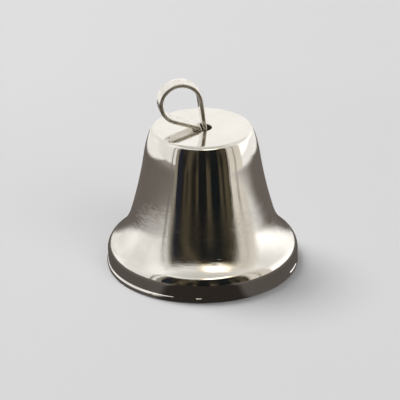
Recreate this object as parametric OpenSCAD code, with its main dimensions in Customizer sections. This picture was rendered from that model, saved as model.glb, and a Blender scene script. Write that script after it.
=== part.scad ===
// Small stamped metal craft bell: a thin flared shell, a bent strip hanger that
// is clinched through the crown, and a wire clapper with a ball inside.
// Millimetres, +Z up. The origin is the centre of the rim, where the bell stands.

/* [Bell shell] */
// Outside diameter of the rim
rim_d = 26; // [25.5:0.25:27]
// Height of the shell from the rim to the flat crown
bell_h = 19.85; // [19.35:0.1:21.05]
// Diameter of the flat part of the crown
crown_flat_d = 12.5; // [11.4:0.1:12.8]
// Thickness of the drawn sheet
sheet_t = 0.4; // [0.35:0.01:0.42]
// Radius of the tight corner round the crown
corner_r = 0.7; // [0.6:0.05:1.2]
// Radius of the long soft shoulder below that corner
shoulder_r = 14; // [10:0.5:18]
// Angle by which the waist bows inwards at each end
waist_bow = 4; // [1:0.5:5]
// Radius of the hollow flare above the lip
flare_r = 8; // [7:0.1:8.5]
// Radius of the soft roll from the flare over into the band
lip_r = 1.9; // [1.5:0.1:2.2]
// Height of the upright band below the lip
band_h = 2.15; // [1.9:0.05:2.4]
// How far the lip stands out past the foot of the band
lip_out = 0.1; // [0:0.01:0.15]
// How far the bead at the rim stands out from the foot of the band
bead_out = 0.2; // [0.08:0.01:0.24]
// Radius of the bead's section
bead_r = 0.4; // [0.3:0.01:0.45]
// Radius of the small hollow that runs from the band into the bead
fillet_r = 0.3; // [0.1:0.05:0.5]

/* [Hanger strip] */
// Width of the hanger strip
strip_w = 2.2; // [1.8:0.05:2.25]
// Thickness of the hanger strip
strip_t = 0.55; // [0.4:0.01:0.56]
// Diameter of the hole in the crown that the two legs pass through
crown_hole_d = 2.7; // [2.7:0.05:3]
// Outside radius of the hanging eye
eye_r = 2.95; // [2.65:0.1:3.15]
// Distance of the eye's centre to the left of the bell's axis
eye_offset = 2.9; // [2.8:0.02:3.2]
// Height of the eye's centre above the crown
eye_h = 3.95; // [3.85:0.1:4.85]
// Angle of the hanger about the bell's axis at rest
hanger_turn = 10; // [-180:5:180]
// Reach of the clinched foot from the axis, under the crown
foot_reach = 3.4; // [2.5:0.1:4.5]

/* [Clapper] */
// Diameter of the clapper wire
wire_d = 0.8; // [0.7:0.05:0.9]
// Depth of the clapper's pivot below the crown
pivot_depth = 2.6; // [2.5:0.1:3]
// Diameter of the clapper ball
ball_d = 5.6; // [4.5:0.1:6]
// Height of the ball's centre above the rim
ball_z = 5.2; // [4.8:0.1:6]

/* [Hidden] */

$fn = 96;

// Running clearances
strip_gap = 0.1;
pivot_gap = 0.06;

// Angles are the tilt of the surface's outward normal above the horizontal.
corner_end = 22;
flare_end = 50;

// Centres of the shell's arcs, as [radius, height], from the crown to the rim
band_r = rim_d / 2 - bead_out;
corner_c = [crown_flat_d / 2, bell_h - corner_r];
shoulder_c = corner_c - (shoulder_r - corner_r) * dir(corner_end);
lip_c = [band_r + lip_out - lip_r, band_h];
flare_c = lip_c + (lip_r + flare_r) * dir(flare_end);

// The waist is one shallow arc. Its chord's slope is the mean of its end slopes.
waist_a = waist_slope(12, 8);
waist_top = shoulder_c + shoulder_r * dir(waist_a - waist_bow);
waist_low = flare_c - flare_r * dir(waist_a + waist_bow);
waist_r = norm(waist_low - waist_top) / (2 * sin(waist_bow));
waist_c = waist_top + waist_r * dir(waist_a - waist_bow);

// Rolled bead along the bottom of the rim, and the hollow above it
bead_c = [rim_d / 2 - bead_r, bead_r];
bead_start = acos((bead_r - bead_out + fillet_r) / (bead_r + fillet_r));
fillet_c = bead_c + (bead_r + fillet_r) * dir(bead_start);

// Hanger centreline, as [across, height above the crown]
half_t = strip_t / 2;
leg_x = half_t + strip_gap / 2;
bend_r = half_t + 0.3;
foot_z = -sheet_t - strip_gap - half_t;
foot_c = [-leg_x - bend_r, foot_z + bend_r];
clinch_c = foot_c + [0, 0.02];
eye_c = [-eye_offset, eye_h];
eye_mid_r = eye_r - half_t;
ease_r = 1;
ease_c = [leg_x - ease_r, -0.3];
jog_r = half_t + 0.325;
jog_c = [leg_x + jog_r, -1];

// Knuckle that carries the clapper's pivot, centred on the bell's axis
// It is curled a little undersize and reamed out to the bore.
bore_r = wire_d / 2 + pivot_gap;
ream_depth = 0.03;
knuckle_mid_r = bore_r - ream_depth + half_t;
knuckle_c = [0, -pivot_depth];
knuckle_end = -260;

// Directions of the straight stretches, from the tangents between the arcs
clinch_a = slope(eye_c - clinch_c) - asin((eye_mid_r + bend_r) / norm(eye_c - clinch_c));
lean_a = 90 - slope(eye_c - ease_c) - asin((eye_mid_r - ease_r) / norm(eye_c - ease_c));
jog_a = asin((jog_r + knuckle_mid_r) / norm(knuckle_c - jog_c)) + slope(jog_c - knuckle_c, 1) - 90;

// Clapper wire link, below the pivot
wire_r = wire_d / 2;
link_bend_r = 0.6;
link_half_w = strip_w / 2 + 0.05 + link_bend_r;
link_arm = 0.3;
pivot_z = bell_h - pivot_depth;
link_low = -link_bend_r - link_arm;
shank_top = pivot_z + link_low - link_half_w;
ball_low = ball_z - ball_d / 2;
rivet_h = 0.3;
rivet_r = 0.75;

function dir(a) = [cos(a), sin(a)];

// Angle of a vector above the horizontal, whichever way it points across
function slope(v, side = -1) = atan2(v.y, side * v.x);

// Points along an arc about c. A hollow arc has a negative radius.
function arc(c, r, a0, a1, n) = [for (i = [0:n]) c + r * dir(a0 + (a1 - a0) * i / n)];

// Slope of the waist that meets the shoulder and the flare, by repeated estimate
function waist_slope(a, n) =
    let (top = shoulder_c + shoulder_r * dir(a - waist_bow))
    let (low = flare_c - flare_r * dir(a + waist_bow))
    let (next = atan2(low.x - top.x, top.y - low.y))
    n == 0 ? next : waist_slope(next, n - 1);

// The shell's surface from the crown to the lip, at a depth below its outside
function shell_side(depth) = concat(
    arc(corner_c, corner_r - depth, 90, corner_end, 8),
    arc(shoulder_c, shoulder_r - depth, corner_end, waist_a - waist_bow, 5),
    arc(waist_c, -waist_r - depth, waist_a - waist_bow, waist_a + waist_bow, 6),
    arc(flare_c, -flare_r - depth, waist_a + waist_bow, flare_end, 10),
    arc(lip_c, lip_r - depth, flare_end, 0, 6)
);

function reversed(list) = [for (i = [len(list) - 1:-1:0]) list[i]];

// One face of the bent strip, at a distance to the left of its centreline
function strip_side(left) = concat(
    [[-foot_reach, foot_z + left]],
    arc(foot_c, bend_r - left, -90, 0, 8),
    arc(clinch_c, bend_r - left, 0, 90 - clinch_a, 8),
    arc(eye_c, eye_mid_r + left, 270 - clinch_a, lean_a, 36),
    arc(ease_c, ease_r + left, lean_a, 0, 3),
    arc(jog_c, jog_r - left, 180, 180 + jog_a, 4),
    arc(knuckle_c, knuckle_mid_r + left, jog_a, knuckle_end, 30)
);

// A thin shell of revolution with an open mouth and a hole in its crown
module bell_shell() {
    color("gainsboro")
    difference() {
        rotate_extrude()
        polygon(concat(
            [[0, bell_h]],
            shell_side(0),
            arc(fillet_c, -fillet_r, 0, bead_start, 3),
            arc(bead_c, bead_r, bead_start, -90, 6),
            [[band_r - sheet_t, 0]],
            reversed(shell_side(sheet_t)),
            [[0, bell_h - sheet_t]]
        ));
        translate([0, 0, bell_h - 2 * sheet_t])
        cylinder(d = crown_hole_d, h = 3 * sheet_t);
    }
}

// One strip: clinched foot, leg, hanging eye, leg, and the clapper's knuckle
module hanger_loop() {
    color("silver")
    rotate([0, 0, hanger_turn])
    translate([0, 0, bell_h])
    rotate([90, 0, 0])
    linear_extrude(height = strip_w, center = true)
    difference() {
        polygon(concat(strip_side(half_t), reversed(strip_side(-half_t))));
        translate(knuckle_c)
        circle(r = bore_r);
    }
}

// A bend in the wire across the knuckle. Its angles run from straight down to +Y.
module wire_bend(bend_radius, start, turn) {
    rotate([0, 90, 0])
    rotate([0, 0, start])
    rotate_extrude(angle = turn)
    translate([bend_radius, 0])
    circle(r = wire_r);
}

// Closed link through the knuckle, shank and riveted end
module clapper_wire() {
    color("darkgray")
    rotate([0, 0, hanger_turn])
    union() {
        translate([0, 0, pivot_z]) {
            rotate([90, 0, 0])
            cylinder(r = wire_r, h = 2 * (link_half_w - link_bend_r), center = true);
            for (side = [0, 1])
            mirror([0, side, 0]) {
                translate([0, link_half_w - link_bend_r, -link_bend_r])
                wire_bend(link_bend_r, 90, 90);
                translate([0, link_half_w, link_low])
                cylinder(r = wire_r, h = link_arm);
            }
            translate([0, 0, link_low])
            wire_bend(link_half_w, -90, 180);
        }
        translate([0, 0, ball_low])
        cylinder(r = wire_r, h = shank_top - ball_low);
        translate([0, 0, ball_low - rivet_h])
        cylinder(r1 = wire_r, r2 = rivet_r, h = rivet_h);
    }
}

// Solid ball pressed on the shank
module clapper_ball() {
    color("gray")
    difference() {
        translate([0, 0, ball_z])
        sphere(d = ball_d);
        translate([0, 0, ball_low - 1])
        cylinder(r = wire_r, h = ball_d + 2);
    }
}

bell_shell();
hanger_loop();
clapper_wire();
clapper_ball();
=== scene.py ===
import math

import bmesh
import bpy
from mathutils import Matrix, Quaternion, Vector


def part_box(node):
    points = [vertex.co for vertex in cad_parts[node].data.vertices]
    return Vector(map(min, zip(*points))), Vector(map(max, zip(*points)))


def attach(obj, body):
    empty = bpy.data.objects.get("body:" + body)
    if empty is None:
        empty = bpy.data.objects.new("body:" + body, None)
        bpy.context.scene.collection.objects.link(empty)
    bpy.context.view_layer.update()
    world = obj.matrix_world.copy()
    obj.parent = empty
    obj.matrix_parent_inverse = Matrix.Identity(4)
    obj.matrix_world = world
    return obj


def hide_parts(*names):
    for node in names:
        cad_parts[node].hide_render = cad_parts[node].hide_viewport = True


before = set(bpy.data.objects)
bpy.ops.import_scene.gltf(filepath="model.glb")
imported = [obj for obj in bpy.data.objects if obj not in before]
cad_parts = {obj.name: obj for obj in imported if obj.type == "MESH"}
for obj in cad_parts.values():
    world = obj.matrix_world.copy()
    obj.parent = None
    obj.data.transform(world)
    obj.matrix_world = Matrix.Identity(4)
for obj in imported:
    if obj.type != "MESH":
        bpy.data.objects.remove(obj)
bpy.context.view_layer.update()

# A small plated craft bell. Its dimensions are in millimetres and repeat the part's source, and
# mesh_piece() turns points into metres. Materials, lights and the camera's distance are in metres.

MM = 0.001


# ---------------------------------------------------------------- dimensions

def node_box(node):
    """A node's lowest and highest corner, in millimetres."""
    low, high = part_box(node)
    return [v / MM for v in low], [v / MM for v in high]


_, SHELL_HIGH = node_box("bell_shell")
BALL_LOW, BALL_HIGH = node_box("clapper_ball")

# Bell shell. The arcs' ends are the tilt of the surface's normal above the horizontal.
RIM_R = 13.0
BELL_H = SHELL_HIGH[2]
CROWN_FLAT_R = 6.25
SHEET_T = 0.4
CORNER_R = 0.7
SHOULDER_R = 14.0
WAIST_BOW = 4.0
FLARE_R = 8.0
LIP_R = 1.9
BAND_H = 2.15
LIP_OUT = 0.1
BEAD_OUT = 0.2
BEAD_R = 0.4
# The hollow above the bead is tighter than the part's 0.3, so that the bead catches the light
FILLET_R = 0.1
CORNER_END = 22.0
FLARE_END = 50.0
CROWN_HOLE_R = 1.35
HOLE_EDGE_R = 0.12
RIM_CHAMFER = 0.06
SHELL_SEGMENTS = 360
# Where the bead is rolled out round the rim: first and last azimuth in degrees, and how fully.
# Azimuth 0 is the front and 90 the right. Between the stretches the bead is nearly flat.
BEAD_STRETCHES = ((-180, -19, 1.0), (-4.2, -1.2, 1.0), (66, 78, 0.8), (100, 180, 1.0))
BEAD_FADE = 2.0
BEAD_FLAT_OUT = 0.06

# Hanger strip. Heights are above the crown.
STRIP_W = 2.2
STRIP_T = 0.55
STRIP_GAP = 0.1
STRIP_EDGE_R = 0.15
STRIP_EDGE_LEAST_R = 0.02
STRIP_END_ROUND = 0.09
EYE_R = 2.95
EYE_OFFSET = 2.9
EYE_H = 3.95
HANGER_TURN = math.radians(10)
FOOT_REACH = 3.4
BEND_INNER_R = 0.3
CLINCH_RISE = 0.02
EASE_R = 1.0
EASE_Z = -0.3
JOG_INNER_R = 0.325
JOG_Z = -1.0
REAM_DEPTH = 0.03
KNUCKLE_END = -260.0
# Steps round the strip's section: at each corner, and across each cut edge and each face
CORNER_STEPS = 4
EDGE_STEPS = 3
FACE_STEPS = 6

# Clapper
WIRE_R = 0.4
PIVOT_DEPTH = 2.6
PIVOT_GAP = 0.06
LINK_BEND_R = 0.6
LINK_SIDE_GAP = 0.05
LINK_HALF_W = STRIP_W / 2 + LINK_SIDE_GAP + LINK_BEND_R
LINK_ARM = 0.3
PIVOT_Z = BELL_H - PIVOT_DEPTH
LINK_CLOSE_END = 252.0
NECK_BEND_R = 0.5
RIVET_H = 0.3
RIVET_R = 0.75
BUTT_ROUND = 0.05

BALL_R = 2.8
BALL_Z = BALL_HIGH[2] - math.sqrt(BALL_R ** 2 - WIRE_R ** 2)
BALL_CHAMFER = 0.1
WIRE_FIT = 0.01


# ---------------------------------------------------------------- plane geometry

def direction(angle):
    """Unit vector at an angle in degrees above the +X axis."""
    return Vector((math.cos(math.radians(angle)), math.sin(math.radians(angle))))


def arc(centre, radius, start, end, steps):
    """Points round a centre. A hollow arc has a negative radius."""
    return [centre + radius * direction(start + (end - start) * i / steps) for i in range(steps + 1)]


def smooth_step(low, high, value):
    """0 at low, 1 at high, and a smooth curve between."""
    t = min(max((value - low) / (high - low), 0.0), 1.0)
    return t * t * (3 - 2 * t)


def between(start, end, steps):
    """Points inside a straight stretch, without its two ends."""
    return [start + (end - start) * k / steps for k in range(1, steps)]


# ---------------------------------------------------------------- meshes

def mesh_piece(name, points, faces):
    """A smooth-shaded object from points in millimetres."""
    mesh = bpy.data.meshes.new(name)
    mesh.from_pydata([tuple(c * MM for c in p) for p in points], [], faces)
    clean = bmesh.new()
    clean.from_mesh(mesh)
    bmesh.ops.recalc_face_normals(clean, faces=clean.faces)
    clean.to_mesh(mesh)
    clean.free()
    mesh.polygons.foreach_set("use_smooth", [True] * len(mesh.polygons))
    piece = bpy.data.objects.new(name, mesh)
    bpy.context.collection.objects.link(piece)
    return piece


def revolve(name, outline, segments, shape=None):
    """A closed outline of (radius, height) points turned about the Z axis, and reshaped as it turns."""
    points = []
    faces = []
    count = len(outline)
    for s in range(segments):
        turn = 2 * math.pi * s / segments
        ring = shape(outline, turn) if shape else outline
        points += [(p[0] * math.cos(turn), p[0] * math.sin(turn), p[1]) for p in ring]
        here, there = s * count, (s + 1) % segments * count
        for i in range(count):
            j = (i + 1) % count
            faces.append((here + i, there + i, there + j, here + j))
    return mesh_piece(name, points, faces)


def skin(name, rings):
    """A closed skin over rings of equal length, with a flat cap at each end."""
    count = len(rings[0])
    points = [p for ring in rings for p in ring]
    faces = [tuple(range(count)), tuple(range(len(points) - count, len(points)))]
    for r in range(len(rings) - 1):
        here, there = r * count, (r + 1) * count
        for i in range(count):
            j = (i + 1) % count
            faces.append((here + i, here + j, there + j, there + i))
    return mesh_piece(name, points, faces)


def turned(point, turn):
    """A point turned about the Z axis."""
    x, y, z = point
    return (x * math.cos(turn) - y * math.sin(turn), x * math.sin(turn) + y * math.cos(turn), z)


# ---------------------------------------------------------------- bell shell

def waist_ends(slope, shoulder_c, flare_c):
    """Where a waist of a given mean slope leaves the shoulder and meets the flare."""
    top = shoulder_c + SHOULDER_R * direction(slope - WAIST_BOW)
    low = flare_c - FLARE_R * direction(slope + WAIST_BOW)
    return top, low


def shell_outline():
    """The shell's outside from the hole to the rim, and its inside from the rim back to the hole.

    The waist's slope meets the shoulder and the flare, and is found by repeated estimate.
    """
    band_r = RIM_R - BEAD_OUT
    corner_c = Vector((CROWN_FLAT_R, BELL_H - CORNER_R))
    shoulder_c = corner_c - (SHOULDER_R - CORNER_R) * direction(CORNER_END)
    lip_c = Vector((band_r + LIP_OUT - LIP_R, BAND_H))
    flare_c = lip_c + (LIP_R + FLARE_R) * direction(FLARE_END)
    slope = 12.0
    for _ in range(8):
        top, low = waist_ends(slope, shoulder_c, flare_c)
        slope = math.degrees(math.atan2(low.x - top.x, top.y - low.y))
    top, low = waist_ends(slope, shoulder_c, flare_c)
    waist_r = (low - top).length / (2 * math.sin(math.radians(WAIST_BOW)))
    waist_c = top + waist_r * direction(slope - WAIST_BOW)

    def side(depth):
        return (arc(corner_c, CORNER_R - depth, 90, CORNER_END, 14)
                + arc(shoulder_c, SHOULDER_R - depth, CORNER_END, slope - WAIST_BOW, 14)[1:]
                + arc(waist_c, -waist_r - depth, slope - WAIST_BOW, slope + WAIST_BOW, 24)[1:]
                + arc(flare_c, -FLARE_R - depth, slope + WAIST_BOW, FLARE_END, 24)[1:]
                + arc(lip_c, LIP_R - depth, FLARE_END, 0, 16)[1:])

    bead_c = Vector((RIM_R - BEAD_R, BEAD_R))
    bead_start = math.degrees(math.acos((BEAD_R - BEAD_OUT + FILLET_R) / (BEAD_R + FILLET_R)))
    fillet_c = bead_c + (BEAD_R + FILLET_R) * direction(bead_start)
    outer_side = side(0)
    hollow = arc(fillet_c, -FILLET_R, 0, bead_start, 6)
    band = between(outer_side[-1], hollow[0], 8)
    bead = arc(bead_c, BEAD_R, bead_start, -90, 16)[1:]
    inner_low = Vector((band_r - SHEET_T, 0))
    rim_in = [inner_low + Vector((RIM_CHAMFER, 0)), inner_low + Vector((0, RIM_CHAMFER))]
    outer_top = Vector((CROWN_HOLE_R + HOLE_EDGE_R, BELL_H - HOLE_EDGE_R))
    inner_top = Vector((CROWN_HOLE_R + HOLE_EDGE_R, BELL_H - SHEET_T + HOLE_EDGE_R))
    crown_end = Vector((CROWN_FLAT_R, BELL_H))
    crown = between(Vector((outer_top.x, BELL_H)), crown_end, 10)
    ceiling = [Vector((p.x, BELL_H - SHEET_T)) for p in reversed(crown)]
    outside = arc(outer_top, HOLE_EDGE_R, 180, 90, 5) + crown + outer_side + band + hollow + bead
    inside = rim_in + side(SHEET_T)[::-1] + ceiling + arc(inner_top, HOLE_EDGE_R, 270, 180, 5)
    return outside, inside


def bead_amount(turn):
    """How fully the bead is rolled out at an angle from the +X axis, from 0 to 1."""
    azimuth = (math.degrees(turn) + 270) % 360 - 180
    amount = 0.0
    for start, end, most in BEAD_STRETCHES:
        begun = smooth_step(start - BEAD_FADE, start, azimuth)
        ended = smooth_step(end, end + BEAD_FADE, azimuth)
        amount = max(amount, most * begun * (1 - ended))
    return amount


def uneven_bead(outline, turn):
    """The section with the bead flattened into the band where the rolling was weak."""
    amount = bead_amount(turn)
    lip_r = RIM_R - BEAD_OUT + LIP_OUT
    ring = []
    for radius, height in outline:
        if height < BAND_H and radius > RIM_R - BEAD_R:
            flat = lip_r + BEAD_FLAT_OUT * (BAND_H - height) / BAND_H
            if height < BEAD_R:
                flat = radius - (RIM_R - lip_r - BEAD_FLAT_OUT) * (radius - RIM_R + BEAD_R) / BEAD_R
            radius = flat + (radius - flat) * amount
        ring.append((radius, height))
    return ring


def make_shell():
    """The shell, bright outside and duller inside."""
    outside, inside = shell_outline()
    outline = outside + inside
    piece = revolve("plated_bell_shell", outline, SHELL_SEGMENTS, uneven_bead)
    piece.data.materials.append(shell_outside_material())
    piece.data.materials.append(shell_inside_material())
    for face in piece.data.polygons:
        face.material_index = int(face.index % len(outline) >= len(outside) - 1)
    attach(piece, "bell")
    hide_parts("bell_shell")
    return piece


# ---------------------------------------------------------------- hanger strip

def tangent_slope(vector, side=-1):
    """A vector's angle above the -X axis, or above the +X axis where side is 1."""
    return math.degrees(math.atan2(vector.y, side * vector.x))


def arcsine(value):
    """The angle in degrees whose sine is the value."""
    return math.degrees(math.asin(value))


def hanger_route():
    """The strip's centreline as (point, left normal, inner limit) from the clinched foot to the knuckle."""
    half_t = STRIP_T / 2
    leg_x = half_t + STRIP_GAP / 2
    bend_r = half_t + BEND_INNER_R
    foot_z = -SHEET_T - STRIP_GAP - half_t
    foot_c = Vector((-leg_x - bend_r, foot_z + bend_r))
    clinch_c = foot_c + Vector((0, CLINCH_RISE))
    eye_c = Vector((-EYE_OFFSET, EYE_H))
    eye_mid_r = EYE_R - half_t
    ease_c = Vector((leg_x - EASE_R, EASE_Z))
    jog_r = half_t + JOG_INNER_R
    jog_c = Vector((leg_x + jog_r, JOG_Z))
    bore_r = WIRE_R + PIVOT_GAP
    knuckle_mid_r = bore_r - REAM_DEPTH + half_t
    knuckle_c = Vector((0, -PIVOT_DEPTH))

    to_eye = eye_c - clinch_c
    from_eye = eye_c - ease_c
    to_knuckle = knuckle_c - jog_c
    clinch_a = tangent_slope(to_eye) - arcsine((eye_mid_r + bend_r) / to_eye.length)
    lean_a = 90 - tangent_slope(from_eye) - arcsine((eye_mid_r - EASE_R) / from_eye.length)
    jog_a = arcsine((jog_r + knuckle_mid_r) / to_knuckle.length) + tangent_slope(-to_knuckle, 1) - 90

    route = []
    straight_step = 0.25

    def straight_to(end, left):
        start = route[-1][0]
        steps = max(2, int((end - start).length / straight_step))
        route.extend((p, left, None) for p in between(start, end, steps))

    def bend(centre, radius, start, end, steps, hollow, bore=None):
        """An arc of the route. A hollow bend has its centre on the left."""
        turn = -1 if hollow else 1
        first = centre + radius * direction(start)
        if route:
            straight_to(first, turn * direction(start))
        for i in range(steps + 1):
            out = direction(start + (end - start) * i / steps)
            route.append((centre + radius * out, turn * out, bore and (centre, bore)))

    foot_end = Vector((-FOOT_REACH, foot_z))
    route.append((foot_end, Vector((0, 1)), None))
    bend(foot_c, bend_r, -90, 0, 12, True)
    bend(clinch_c, bend_r, 0, 90 - clinch_a, 12, True)
    bend(eye_c, eye_mid_r, 270 - clinch_a, lean_a, 72, False)
    bend(ease_c, EASE_R, lean_a, 0, 4, False)
    bend(jog_c, jog_r, 180, 180 + jog_a, 10, True)
    bend(knuckle_c, knuckle_mid_r, jog_a, KNUCKLE_END, 48, False, bore_r)
    return route


def strip_section(shrink):
    """The strip's rounded section as (left, across) points. Its first and third sides are cut edges."""
    half_t, half_w = STRIP_T / 2 - shrink, STRIP_W / 2 - shrink
    radius = max(STRIP_EDGE_R - shrink, STRIP_EDGE_LEAST_R)
    corners = []
    for turn, left, across in ((0, 1, 1), (90, -1, 1), (180, -1, -1), (270, 1, -1)):
        centre = Vector((left * (half_t - radius), across * (half_w - radius)))
        corners.append(arc(centre, radius, turn, turn + 90, CORNER_STEPS))
    section = []
    for i, steps in enumerate((EDGE_STEPS, FACE_STEPS, EDGE_STEPS, FACE_STEPS)):
        section += corners[i] + between(corners[i][-1], corners[(i + 1) % 4][0], steps)
    return section


def on_cut_edge(place, around):
    """Whether a face lies on a cut edge or the nearer half of its corners, by its place in the ring."""
    place %= around // 2
    return CORNER_STEPS // 2 <= place < EDGE_STEPS + 3 * CORNER_STEPS // 2


def strip_ring(stop, shrink, along):
    """The section placed at one stop of the route, moved a little along it."""
    point, left, bore = stop
    ahead = Vector((left.y, -left.x))
    ring = []
    for side, across in strip_section(shrink):
        p = point + side * left + along * ahead
        if bore:
            centre, radius = bore
            out = p - centre
            p = centre + out.normalized() * max(out.length, radius)
        ring.append(turned((p.x, across, BELL_H + p.y), HANGER_TURN))
    return ring


def make_hanger():
    """The bent strip, with its cut edges in a rougher finish."""
    route = hanger_route()
    # Each end is rounded off by three rings, as (shrink, distance from the end)
    ends = ((STRIP_END_ROUND, 0), (STRIP_END_ROUND / 3, STRIP_END_ROUND / 3), (0, STRIP_END_ROUND))
    rings = [strip_ring(route[0], shrink, inward) for shrink, inward in ends]
    rings += [strip_ring(stop, 0, 0) for stop in route[1:-1]]
    rings += [strip_ring(route[-1], shrink, -inward) for shrink, inward in reversed(ends)]
    piece = skin("bent_hanger_strip", rings)
    piece.data.materials.append(strip_material())
    piece.data.materials.append(cut_edge_material())
    around = len(rings[0])
    caps = 2
    for face in piece.data.polygons[caps:]:
        face.material_index = int(on_cut_edge((face.index - caps) % around, around))
    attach(piece, "hanger")
    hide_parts("hanger_loop")
    return piece


# ---------------------------------------------------------------- clapper

def wire_route():
    """The wire's centreline across the knuckle as (across, height), from the rivet to the butt end."""
    low_c = Vector((0, PIVOT_Z - LINK_BEND_R - LINK_ARM))
    drop = math.sqrt((LINK_HALF_W + NECK_BEND_R) ** 2 - NECK_BEND_R ** 2)
    neck_c = low_c + Vector((NECK_BEND_R, -drop))
    neck_a = math.degrees(math.atan2(drop, NECK_BEND_R))
    arm_x = LINK_HALF_W - LINK_BEND_R
    right_c = Vector((arm_x, PIVOT_Z - LINK_BEND_R))
    left_c = Vector((-arm_x, PIVOT_Z - LINK_BEND_R))
    shank_end = Vector((0, BALL_LOW[2]))
    neck = arc(neck_c, NECK_BEND_R, 180, 180 - neck_a, 8)
    route = [shank_end] + between(shank_end, neck[0], 16) + neck
    route += arc(low_c, LINK_HALF_W, -neck_a, 0, 12)[1:]
    upper = arc(right_c, LINK_BEND_R, 0, 90, 8)
    route += between(route[-1], upper[0], 2) + upper
    over = arc(left_c, LINK_BEND_R, 90, 180, 8)
    route += between(route[-1], over[0], 4) + over
    closing = arc(low_c, LINK_HALF_W, 180, LINK_CLOSE_END, 12)
    return route + between(route[-1], closing[0], 2) + closing


def wire_ring(point, ahead, radius, sides=28):
    """A round section in the plane square to the wire."""
    left = Vector((-ahead.y, ahead.x))
    ring = []
    for s in range(sides):
        turn = 2 * math.pi * s / sides
        p = point + left * radius * math.cos(turn)
        ring.append(turned((radius * math.sin(turn), p.x, p.y), HANGER_TURN))
    return ring


def make_wire():
    """The clapper's link, shank and hammered rivet, as one wire."""
    route = wire_route()
    down = Vector((0, -1))
    # The hammered rivet under the ball, as shares of its height and radius from the bottom up
    rivet = ((1.0, 0.35), (0.94, 0.62), (0.8, 0.86), (0.6, 1.0), (0.38, 0.98), (0.16, 0.8))
    rings = [wire_ring(route[0] + down * RIVET_H * drop, -down, RIVET_R * swell) for drop, swell in rivet]
    for i, point in enumerate(route):
        before, after = route[max(i - 1, 0)], route[min(i + 1, len(route) - 1)]
        rings.append(wire_ring(point, (after - before).normalized(), WIRE_R))
    ahead = (route[-1] - route[-2]).normalized()
    rings.append(wire_ring(route[-1] + ahead * BUTT_ROUND, ahead, WIRE_R * 0.9))
    piece = skin("bent_clapper_wire", rings)
    piece.data.materials.append(wire_material())
    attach(piece, "clapper")
    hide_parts("clapper_wire")
    return piece


def make_ball():
    """The ball, with a chamfered hole for the wire."""
    hole_r = WIRE_R + WIRE_FIT
    centre = Vector((0, BALL_Z))
    open_a = math.degrees(math.acos((hole_r + BALL_CHAMFER) / BALL_R))
    outside = arc(centre, BALL_R, open_a, -open_a, 72)
    low, high = outside[-1].y + BALL_CHAMFER, outside[0].y - BALL_CHAMFER
    bore = [Vector((hole_r, low))] + between(Vector((hole_r, low)), Vector((hole_r, high)), 6)
    piece = revolve("drilled_clapper_ball", outside + bore + [Vector((hole_r, high))], 96)
    piece.data.materials.append(ball_material())
    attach(piece, "clapper")
    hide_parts("clapper_ball")
    return piece


# ---------------------------------------------------------------- materials

def new_material(name):
    """A material with its node tree and its main shader."""
    material = bpy.data.materials.new(name)
    material.use_nodes = True
    return material, material.node_tree, material.node_tree.nodes["Principled BSDF"]


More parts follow.
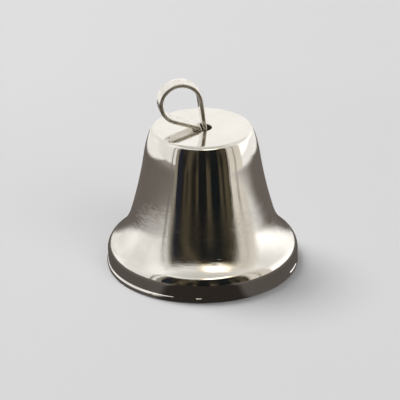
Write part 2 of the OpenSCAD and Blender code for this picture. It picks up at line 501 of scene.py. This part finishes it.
class Nodes:
    """Short calls for the nodes that the metal finishes share."""

    def __init__(self, tree):
        self.tree = tree
        self.place = self.add("ShaderNodeTexCoord").outputs["Object"]

    def add(self, kind, **settings):
        """A new node with some of its settings."""
        node = self.tree.nodes.new(kind)
        for key, value in settings.items():
            setattr(node, key, value)
        return node

    def link(self, source, socket):
        self.tree.links.new(source, socket)

    def stretched(self, scale):
        """The place on the object, scaled along each axis."""
        node = self.add("ShaderNodeMapping")
        node.inputs["Scale"].default_value = scale
        self.link(self.place, node.inputs["Vector"])
        return node.outputs["Vector"]

    def drawn(self, round_scale, height_scale):
        """The direction round the Z axis and the height, for marks that run up the shell."""
        split = self.add("ShaderNodeSeparateXYZ")
        self.link(self.place, split.inputs[0])
        flat = self.add("ShaderNodeCombineXYZ")
        self.link(split.outputs["X"], flat.inputs["X"])
        self.link(split.outputs["Y"], flat.inputs["Y"])
        unit = self.add("ShaderNodeVectorMath", operation="NORMALIZE")
        self.link(flat.outputs[0], unit.inputs[0])
        wide = self.add("ShaderNodeVectorMath", operation="SCALE")
        wide.inputs["Scale"].default_value = round_scale
        self.link(unit.outputs[0], wide.inputs[0])
        height = self.math("MULTIPLY", split.outputs["Z"], height_scale)
        rise = self.add("ShaderNodeCombineXYZ")
        self.link(height, rise.inputs["Z"])
        total = self.add("ShaderNodeVectorMath", operation="ADD")
        self.link(wide.outputs[0], total.inputs[0])
        self.link(rise.outputs[0], total.inputs[1])
        return total.outputs[0]

    def noise(self, vector, scale, detail=3.0, rough=0.5):
        """A soft noise from about 0.3 to 0.7."""
        node = self.add("ShaderNodeTexNoise")
        node.inputs["Scale"].default_value = scale
        node.inputs["Detail"].default_value = detail
        node.inputs["Roughness"].default_value = rough
        self.link(vector, node.inputs["Vector"])
        return node.outputs["Fac"]

    def math(self, operation, a, b):
        """One operation on two values, each a number or another node's output."""
        node = self.add("ShaderNodeMath", operation=operation)
        for value, socket in zip((a, b), node.inputs):
            if isinstance(value, (int, float)):
                socket.default_value = value
            else:
                self.link(value, socket)
        return node.outputs[0]

    def span(self, value, low, high, to_low, to_high):
        """A value's stretch from low to high, mapped smoothly to another stretch."""
        node = self.add("ShaderNodeMapRange", interpolation_type="SMOOTHSTEP")
        self.link(value, node.inputs["Value"])
        for socket, number in zip(node.inputs[1:5], (low, high, to_low, to_high)):
            socket.default_value = number
        return node.outputs["Result"]

    def height(self):
        """The height above the rim, in metres."""
        split = self.add("ShaderNodeSeparateXYZ")
        self.link(self.place, split.inputs[0])
        return split.outputs["Z"]

    def mix(self, amount, first, second):
        """A colour between two colours, each a tuple or another node's output."""
        node = self.add("ShaderNodeMix", data_type="RGBA")
        self.link(amount, node.inputs["Factor"])
        for value, socket in ((first, node.inputs["A"]), (second, node.inputs["B"])):
            if isinstance(value, tuple):
                socket.default_value = (*value, 1)
            else:
                self.link(value, socket)
        return node.outputs["Result"]

    def bump(self, height, strength, distance, normal=None):
        """The normal of a surface raised by a height, over a first normal if there is one."""
        node = self.add("ShaderNodeBump")
        node.inputs["Strength"].default_value = strength
        node.inputs["Distance"].default_value = distance
        self.link(height, node.inputs["Height"])
        if normal:
            self.link(normal, node.inputs["Normal"])
        return node.outputs["Normal"]

    def scratches(self, scale, seed, width=0.012):
        """Thin random lines, as the narrow crossing of a stretched noise."""
        turn = self.add("ShaderNodeMapping")
        turn.inputs["Location"].default_value = (seed, seed * 0.7, seed * 1.3)
        turn.inputs["Rotation"].default_value = (seed, seed * 2.1, seed * 0.6)
        turn.inputs["Scale"].default_value = (scale, scale, scale * 0.12)
        self.link(self.place, turn.inputs["Vector"])
        wander = self.noise(turn.outputs["Vector"], 1.0, 2.0, 0.4)
        apart = self.math("ABSOLUTE", self.math("SUBTRACT", wander, 0.5), 0.0)
        return self.span(apart, 0.0, width, 1.0, 0.0)


def metal(name):
    """A bare metal material, its node calls and its shader."""
    material, tree, shader = new_material(name)
    shader.inputs["Metallic"].default_value = 1
    return material, Nodes(tree), shader


def shell_outside_material():
    """Bright nickel over a drawn shell: streaks up the flare, fine rings, smudges and hairlines."""
    material, n, shader = metal("bright_nickel_outside")
    streaks = n.noise(n.drawn(26, 60), 1.0, 4.0, 0.6)
    fine = n.noise(n.drawn(280, 130), 1.0, 2.0, 0.6)
    smudges = n.noise(n.stretched((1, 1, 1)), 170, 4.0, 0.6)
    hairs = n.math("MAXIMUM", n.scratches(900, 0.4), n.scratches(700, 2.3))
    gate = n.span(n.noise(n.stretched((1, 1, 1)), 240, 2.0), 0.5, 0.7, 0.0, 1.0)
    hairs = n.math("MULTIPLY", hairs, gate)
    # Heights above the rim over which the marks fade in
    height = n.height()
    in_flare = n.span(height, 0.0090, 0.0045, 0.0, 1.0)
    below_waist = n.span(height, 0.0135, 0.0085, 0.15, 1.0)
    above_band = n.span(height, 0.0022, 0.0042, 0.0, 1.0)
    drawn_marks = n.math("MULTIPLY", in_flare, above_band)
    tint = n.mix(n.span(smudges, 0.35, 0.7, 0.0, 1.0), (0.865, 0.850, 0.825), (0.80, 0.782, 0.75))
    tint = n.mix(n.math("MULTIPLY", n.span(fine, 0.45, 0.75, 0.0, 1.0), 0.35), tint, (0.74, 0.715, 0.67))
    n.link(n.mix(n.math("MULTIPLY", hairs, 0.25), tint, (0.93, 0.92, 0.90)), shader.inputs["Base Color"])
    rough = n.math("ADD", n.span(smudges, 0.35, 0.75, 0.035, 0.075), n.math("MULTIPLY", hairs, 0.05))
    rough = n.math("ADD", rough, n.math("MULTIPLY", n.span(streaks, 0.4, 0.7, 0.0, 0.06), drawn_marks))
    n.link(rough, shader.inputs["Roughness"])
    # Rings finer than a pixel, which blur the reflections upwards and downwards only
    rings = n.noise(n.drawn(4, 30000), 1.0, 2.0, 0.6)
    ringed = n.math("MULTIPLY", below_waist, above_band)
    normal = n.bump(n.math("MULTIPLY", rings, ringed), 1.0, 0.000007)
    normal = n.bump(streaks, 0.5, 0.000012, normal)
    normal = n.bump(n.math("MULTIPLY", fine, drawn_marks), 0.5, 0.000005, normal)
    normal = n.bump(smudges, 0.4, 0.00001, normal)
    n.link(n.bump(hairs, 0.2, -0.000002, normal), shader.inputs["Normal"])
    return material


def shell_inside_material():
    """Thin, dull plating inside the shell, with the ring marks of the punch."""
    material, n, shader = metal("dull_nickel_inside")
    rings = n.noise(n.stretched((0.02, 0.02, 1)), 2600, 2.0, 0.6)
    mottle = n.noise(n.stretched((1, 1, 1)), 420, 5.0, 0.65)
    stain = n.span(mottle, 0.4, 0.75, 0.0, 1.0)
    n.link(n.mix(stain, (0.56, 0.54, 0.51), (0.40, 0.365, 0.32)), shader.inputs["Base Color"])
    n.link(n.math("ADD", n.span(mottle, 0.3, 0.7, 0.24, 0.40), n.math("MULTIPLY", rings, 0.08)),
           shader.inputs["Roughness"])
    normal = n.bump(rings, 0.35, 0.00003)
    n.link(n.bump(mottle, 0.4, 0.00002, normal), shader.inputs["Normal"])
    return material


def strip_material():
    """Bright strip with rolling lines along it, rubbed darker patches and hairlines."""
    material, n, shader = metal("bright_nickel_strip")
    mottle = n.noise(n.stretched((1, 1, 1)), 900, 4.0, 0.6)
    lines = n.noise(n.stretched((0.15, 1, 0.15)), 7000, 2.0, 0.5)
    hairs = n.scratches(1600, 1.1)
    wear = n.span(mottle, 0.4, 0.7, 0.0, 1.0)
    tint = n.mix(wear, (0.84, 0.82, 0.79), (0.72, 0.69, 0.63))
    n.link(n.mix(n.math("MULTIPLY", hairs, 0.4), tint, (0.92, 0.91, 0.89)), shader.inputs["Base Color"])
    rough = n.math("ADD", n.span(mottle, 0.3, 0.7, 0.08, 0.17), n.math("MULTIPLY", lines, 0.06))
    n.link(n.math("ADD", rough, n.math("MULTIPLY", hairs, 0.1)), shader.inputs["Roughness"])
    normal = n.bump(lines, 0.3, 0.000012)
    normal = n.bump(mottle, 0.4, 0.00004, normal)
    n.link(n.bump(hairs, 0.3, -0.000008, normal), shader.inputs["Normal"])
    return material


def cut_edge_material():
    """The strip's sheared edges: rougher, with fine tear lines and warm, uneven plating."""
    material, n, shader = metal("sheared_nickel_edge")
    mottle = n.noise(n.stretched((1, 1, 1)), 700, 3.0, 0.6)
    tears = n.noise(n.stretched((1, 0.2, 1)), 6000, 3.0, 0.6)
    uneven = n.span(mottle, 0.38, 0.68, 0.0, 1.0)
    n.link(n.mix(uneven, (0.80, 0.76, 0.68), (0.56, 0.49, 0.38)), shader.inputs["Base Color"])
    n.link(n.span(mottle, 0.3, 0.7, 0.56, 0.28), shader.inputs["Roughness"])
    normal = n.bump(tears, 0.5, 0.00003)
    n.link(n.bump(mottle, 0.5, 0.00006, normal), shader.inputs["Normal"])
    return material


def wire_material():
    """Hard drawn wire: long draw lines and small dull patches."""
    material, n, shader = metal("drawn_wire")
    mottle = n.noise(n.stretched((1, 1, 1)), 1100, 4.0, 0.6)
    lines = n.noise(n.stretched((1, 1, 0.06)), 9000, 2.0, 0.5)
    n.link(n.mix(n.span(mottle, 0.4, 0.7, 0.0, 1.0), (0.70, 0.69, 0.67), (0.52, 0.50, 0.47)),
           shader.inputs["Base Color"])
    n.link(n.math("ADD", n.span(mottle, 0.3, 0.7, 0.16, 0.30), n.math("MULTIPLY", lines, 0.08)),
           shader.inputs["Roughness"])
    normal = n.bump(lines, 0.35, 0.00001)
    n.link(n.bump(mottle, 0.3, 0.00003, normal), shader.inputs["Normal"])
    return material


def ball_material():
    """Barrel-plated ball: fine dents, faint turning rings and rubbed spots from the shell."""
    material, n, shader = metal("barrel_plated_ball")
    dents = n.noise(n.stretched((1, 1, 1)), 1500, 3.0, 0.55)
    rings = n.noise(n.stretched((0.03, 0.03, 1)), 5200, 2.0, 0.5)
    patches = n.noise(n.stretched((1, 1, 1)), 330, 4.0, 0.6)
    worn = n.span(patches, 0.45, 0.7, 0.0, 1.0)
    n.link(n.mix(worn, (0.73, 0.72, 0.70), (0.58, 0.56, 0.52)), shader.inputs["Base Color"])
    n.link(n.math("ADD", n.span(patches, 0.35, 0.7, 0.13, 0.27), n.math("MULTIPLY", rings, 0.07)),
           shader.inputs["Roughness"])
    normal = n.bump(rings, 0.25, 0.000012)
    n.link(n.bump(dents, 0.45, 0.00003, normal), shader.inputs["Normal"])
    return material


def flat_material(name, colour, roughness=0.9):
    """A plain matt surface for the stage."""
    material, _, shader = new_material(name)
    shader.inputs["Base Color"].default_value = (*colour, 1)
    shader.inputs["Roughness"].default_value = roughness
    shader.inputs["Specular IOR Level"].default_value = 0.1
    return material


def glow_material(name, colour=(0, 0, 0), shade=None):
    """A plain glow, or one whose colour comes from a shade function's output."""
    material = bpy.data.materials.new(name)
    material.use_nodes = True
    material.node_tree.nodes.clear()
    n = Nodes(material.node_tree)
    glow = n.add("ShaderNodeEmission")
    glow.inputs["Color"].default_value = (*colour, 1)
    if shade:
        n.link(shade(n), glow.inputs["Color"])
    n.link(glow.outputs[0], n.add("ShaderNodeOutputMaterial").inputs[0])
    return material


def tent_shade(n):
    """White walls, brighter low on the right, and a greyer ceiling."""
    unit = n.add("ShaderNodeVectorMath", operation="NORMALIZE")
    n.link(n.place, unit.inputs[0])
    split = n.add("ShaderNodeSeparateXYZ")
    n.link(unit.outputs[0], split.inputs[0])
    folds = n.span(n.noise(unit.outputs[0], 1.6, 2.0), 0.35, 0.65, 0.0, 1.0)
    walls = n.mix(folds, (0.84, 0.82, 0.78), (1.06, 1.04, 1.0))
    lit_side = n.math("MULTIPLY", n.span(split.outputs["X"], 0.2, 0.95, 0.0, 1.0),
                      n.span(split.outputs["Z"], 0.05, 0.7, 1.0, 0.0))
    walls = n.mix(lit_side, walls, (1.45, 1.42, 1.36))
    ceiling = n.span(split.outputs["Z"], 0.84, 0.92, 0.0, 1.0)
    return n.mix(ceiling, walls, (0.62, 0.61, 0.56))


def mat_with_painted_light_and_shade(n):
    """The dark mat as the metal mirrors it, with painted shade and light: a painted contact shadow round
    the bell, a painted shadow in front of it, a painted sheen that makes it lighter further away, and white
    past its back and right edges.
    """
    split = n.add("ShaderNodeSeparateXYZ")
    n.link(n.place, split.inputs[0])
    far = n.add("ShaderNodeVectorMath", operation="LENGTH")
    n.link(n.place, far.inputs[0])
    # Painted contact shadow: the mat is darker within about 30 mm of the bell
    outside_painted_contact_shadow = n.span(far.outputs["Value"], 0.014, 0.030, 0.0, 1.0)
    shade = n.mix(outside_painted_contact_shadow, (0.100, 0.088, 0.080), (0.150, 0.130, 0.115))
    # Painted sheen: the mat is painted lighter further from the bell
    shade = n.mix(n.span(far.outputs["Value"], 0.045, 0.25, 0.0, 1.0), shade, (0.32, 0.29, 0.26))
    # Painted shadow on the mat in front of the bell, darkest straight ahead
    ahead = n.math("MAXIMUM", n.math("MULTIPLY", split.outputs["Y"], -1.0), 0.001)
    aside = n.math("DIVIDE", n.math("ABSOLUTE", split.outputs["X"], 0.0), ahead)
    painted_front_shadow = n.math("MULTIPLY", n.span(split.outputs["Y"], -0.004, -0.012, 0.0, 1.0),
                      n.span(aside, 0.46, 0.62, 1.0, 0.0))
    shade = n.mix(painted_front_shadow, shade, (0.028, 0.023, 0.019))
    # The edge behind the bell runs a little forward at both sides
    slant = n.math("MULTIPLY", n.math("ABSOLUTE", split.outputs["X"], 0.0), 0.35)
    behind = n.span(n.math("ADD", split.outputs["Y"], slant), 0.058, 0.072, 0.0, 1.0)
    beside = n.span(split.outputs["X"], 0.060, 0.110, 0.0, 1.0)
    past = n.math("MAXIMUM", behind, beside)
    return n.mix(past, shade, (0.98, 0.95, 0.91))


def room_shade(n):
    """Brown and black uprights, uneven along their height."""
    wave = n.noise(n.drawn(9, 14), 1.0, 3.0, 0.6)
    return n.mix(n.span(wave, 0.38, 0.66, 0.0, 1.0), (0.014, 0.013, 0.011), (0.095, 0.076, 0.046))


# ---------------------------------------------------------------- studio

# The camera aims at a point in millimetres, from a distance in metres
CAMERA_ELEVATION = math.radians(25.5)
CAMERA_DISTANCE = 0.4
CAMERA_FIELD = math.radians(7.8)
CAMERA_AIM = (-0.31, 3.53, 7.39)
CAMERA_ROLL = math.radians(-0.5)

# The room in front of the bell, the tent over it and the floors under it, in millimetres.
# The floor that is seen lies just below the mat that is mirrored.
ROOM_R = 90.0
ROOM_TOP = 98.0
TENT_R = 800.0
FLOOR_HALF = 3000.0
FLOOR_Z = -0.02
MAT_Z = -0.01


def make_camera():
    """The camera at the photo's angle."""
    data = bpy.data.cameras.new("camera")
    data.angle = CAMERA_FIELD
    data.clip_start, data.clip_end = 0.01, 20
    camera = bpy.data.objects.new("camera", data)
    bpy.context.collection.objects.link(camera)
    aim = Vector(CAMERA_AIM) * MM
    back = Vector((0, -math.cos(CAMERA_ELEVATION), math.sin(CAMERA_ELEVATION)))
    camera.location = aim + back * CAMERA_DISTANCE
    camera.rotation_mode = "QUATERNION"
    camera.rotation_quaternion = (-back).to_track_quat("-Z", "Y") @ Quaternion((0, 0, 1), CAMERA_ROLL)
    bpy.context.scene.camera = camera


def stage_only(piece, seen, mirrored):
    """A stage object that is either seen and lit, or only mirrored in the metal."""
    piece.visible_camera = seen
    piece.visible_diffuse = seen
    piece.visible_shadow = seen
    piece.visible_transmission = seen
    piece.visible_glossy = mirrored


def floor_plane(name, half, height, material, seen, mirrored):
    """A level square under the bell."""
    corners = [(x * half, y * half, height) for x, y in ((-1, -1), (1, -1), (1, 1), (-1, 1))]
    piece = mesh_piece(name, corners, [(0, 1, 2, 3)])
    piece.data.materials.append(material)
    stage_only(piece, seen, mirrored)


def card(name, radius, azimuths, heights, material):
    """A curved upright card round the bell. Azimuth 0 is the front, and it grows to the right."""
    steps = max(2, int(abs(azimuths[1] - azimuths[0]) / 2))
    points = []
    for i in range(steps + 1):
        turn = math.radians(azimuths[0] + (azimuths[1] - azimuths[0]) * i / steps)
        points += [(radius * math.sin(turn), -radius * math.cos(turn), z) for z in heights]
    faces = [(2 * i, 2 * i + 2, 2 * i + 3, 2 * i + 1) for i in range(steps)]
    piece = mesh_piece(name, points, faces)
    piece.data.materials.append(material)
    stage_only(piece, False, True)


def tent(name, radius, material):
    """The white tent above the horizon, as a dome that only the metal mirrors."""
    rings, sides = 24, 48
    points = [(0, 0, radius)]
    for r in range(1, rings + 1):
        tilt = math.pi / 2 * r / rings
        wide, high = radius * math.sin(tilt), radius * math.cos(tilt)
        for s in range(sides):
            turn = 2 * math.pi * s / sides
            points.append((wide * math.cos(turn), wide * math.sin(turn), high))
    faces = [(0, 1 + s, 1 + (s + 1) % sides) for s in range(sides)]
    for r in range(rings - 1):
        a, b = 1 + r * sides, 1 + (r + 1) * sides
        faces += [(a + s, b + s, b + (s + 1) % sides, a + (s + 1) % sides) for s in range(sides)]
    piece = mesh_piece(name, points, faces)
    piece.data.materials.append(material)
    stage_only(piece, False, True)


def area_light(name, place, aim, size, power, colour):
    """A round soft light that the metal doesn't mirror."""
    data = bpy.data.lights.new(name, "AREA")
    data.shape = "DISK"
    data.size = size
    data.energy = power
    data.color = colour
    lamp = bpy.data.objects.new(name, data)
    bpy.context.collection.objects.link(lamp)
    lamp.location = place
    lamp.rotation_mode = "QUATERNION"
    lamp.rotation_quaternion = (Vector(aim) - Vector(place)).to_track_quat("-Z", "Y")
    lamp.visible_glossy = False


def make_room():
    """The dim room in front of the bell, with its dark window bars and the lit strips beside it."""
    card("room_card", ROOM_R, (-46, 52), (0, ROOM_TOP), glow_material("dim_room", shade=room_shade))
    # Name, extra distance, azimuths, heights and colour
    cards = (("left_bar", -2, (-46, -36), (0, 70), (0.018, 0.019, 0.026)),
             ("middle_bar", -2, (-7, 8), (0, 88), (0.010, 0.010, 0.010)),
             ("right_bar", -2, (16, 31), (0, 92), (0.008, 0.010, 0.010)),
             ("left_strip", 2, (-52, -46), (0, 120), (0.27, 0.245, 0.19)),
             ("left_edge", 1, (-60, -57), (0, 120), (0.20, 0.18, 0.16)),
             ("right_strip", 2, (52, 82), (0, 130), (0.74, 0.69, 0.60)),
             ("right_edge", 1, (64, 67), (0, 130), (0.36, 0.32, 0.29)),
             ("lamp_rim", 0, (-4, 46), (ROOM_TOP, ROOM_TOP + 46), (0.95, 0.72, 0.34)),
             ("lamp", -1, (2, 40), (ROOM_TOP + 6, ROOM_TOP + 36), (3.0, 2.9, 2.6)))
    for name, further, azimuths, heights, colour in cards:
        card(name, ROOM_R + further, azimuths, heights, glow_material(name, colour))


def make_studio():
    """A pale floor, two soft lights, and the mat with its painted shadows and sheen, the tent and the room
    that only the metal mirrors.
    """
    floor_plane("floor", FLOOR_HALF, FLOOR_Z, flat_material("pale_floor", (0.47, 0.47, 0.48)), True, False)
    mat = glow_material("dark_mat_with_painted_shade", shade=mat_with_painted_light_and_shade)
    floor_plane("mirrored_floor", TENT_R, MAT_Z, mat, False, True)
    tent("tent", TENT_R, glow_material("tent", shade=tent_shade))
    make_room()
    area_light("key", (-0.35, 0.25, 0.75), (0, 0, 0), 0.5, 9.0, (1, 0.99, 0.97))
    area_light("fill", (0.5, -0.6, 0.7), (0, 0, 0), 0.7, 4.0, (1, 1, 1))
    world = bpy.data.worlds.new("studio_air")
    world.use_nodes = True
    background = world.node_tree.nodes["Background"]
    background.inputs["Color"].default_value = (0.8, 0.8, 0.82, 1)
    background.inputs["Strength"].default_value = 0.35
    bpy.context.scene.world = world
    bpy.context.scene.view_settings.view_transform = "Standard"


# ---------------------------------------------------------------- build

make_camera()
make_studio()
make_shell()
make_hanger()
make_wire()
make_ball()
